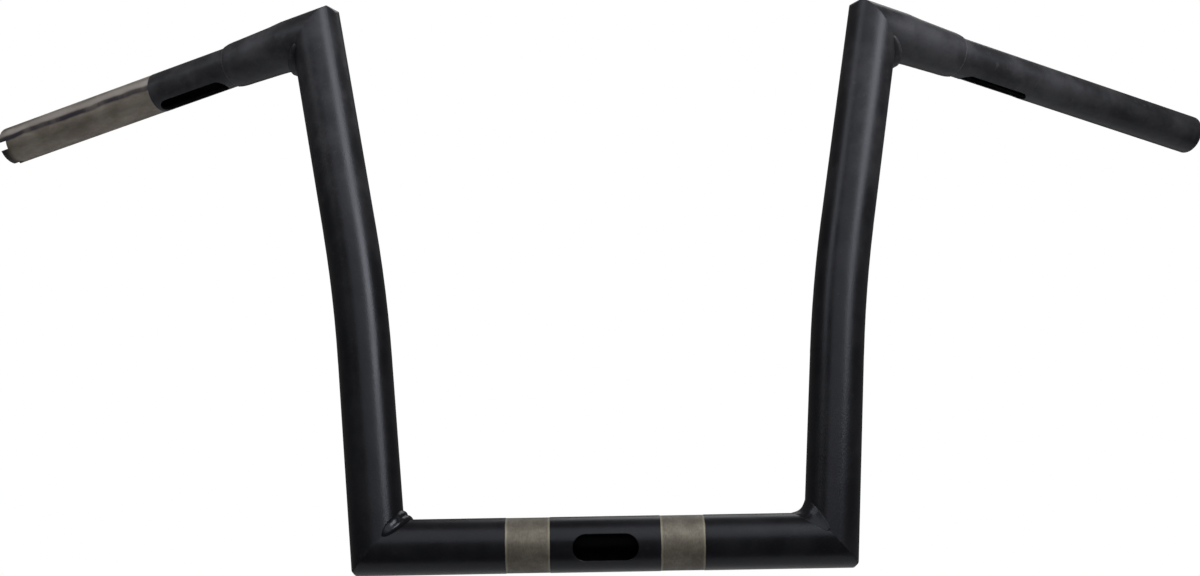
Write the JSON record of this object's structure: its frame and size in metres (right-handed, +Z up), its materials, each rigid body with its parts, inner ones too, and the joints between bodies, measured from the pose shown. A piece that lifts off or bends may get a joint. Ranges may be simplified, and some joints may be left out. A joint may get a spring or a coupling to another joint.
{
  "type": "touring handlebar",
  "caption": "Tall welded motorcycle handlebar: fat mitred crossbar and uprights, tapered necks and slimmer swept-back hand tubes with wiring slots.",
  "frame": {"origin": "middle of the crossbar's axis, midway between the two bare bands that the riser clamps hold", "axes": "+X along the crossbar to the clutch side (the rider's left), +Y back towards the rider, +Z up"},
  "size_m": [0.8229, 0.2335, 0.3432],
  "materials": {
    "black_coat": "satin black powder coat",
    "bare_steel": "bare mottled mill steel",
    "weld_coat": "weld bead under satin black powder coat"
  },
  "bodies": {
    "root": {"crossbar": "black_coat", "upright_throttle": "black_coat", "upright_clutch": "black_coat", "neck_throttle": "black_coat", "neck_clutch": "black_coat", "hand_tube_throttle": "bare_steel", "hand_tube_clutch": "black_coat", "weld_lower_throttle": "weld_coat", "weld_lower_clutch": "weld_coat", "weld_top_throttle": "weld_coat", "weld_top_clutch": "weld_coat", "weld_mouth_throttle": "weld_coat", "weld_mouth_clutch": "weld_coat"}
  },
  "joints": []
}
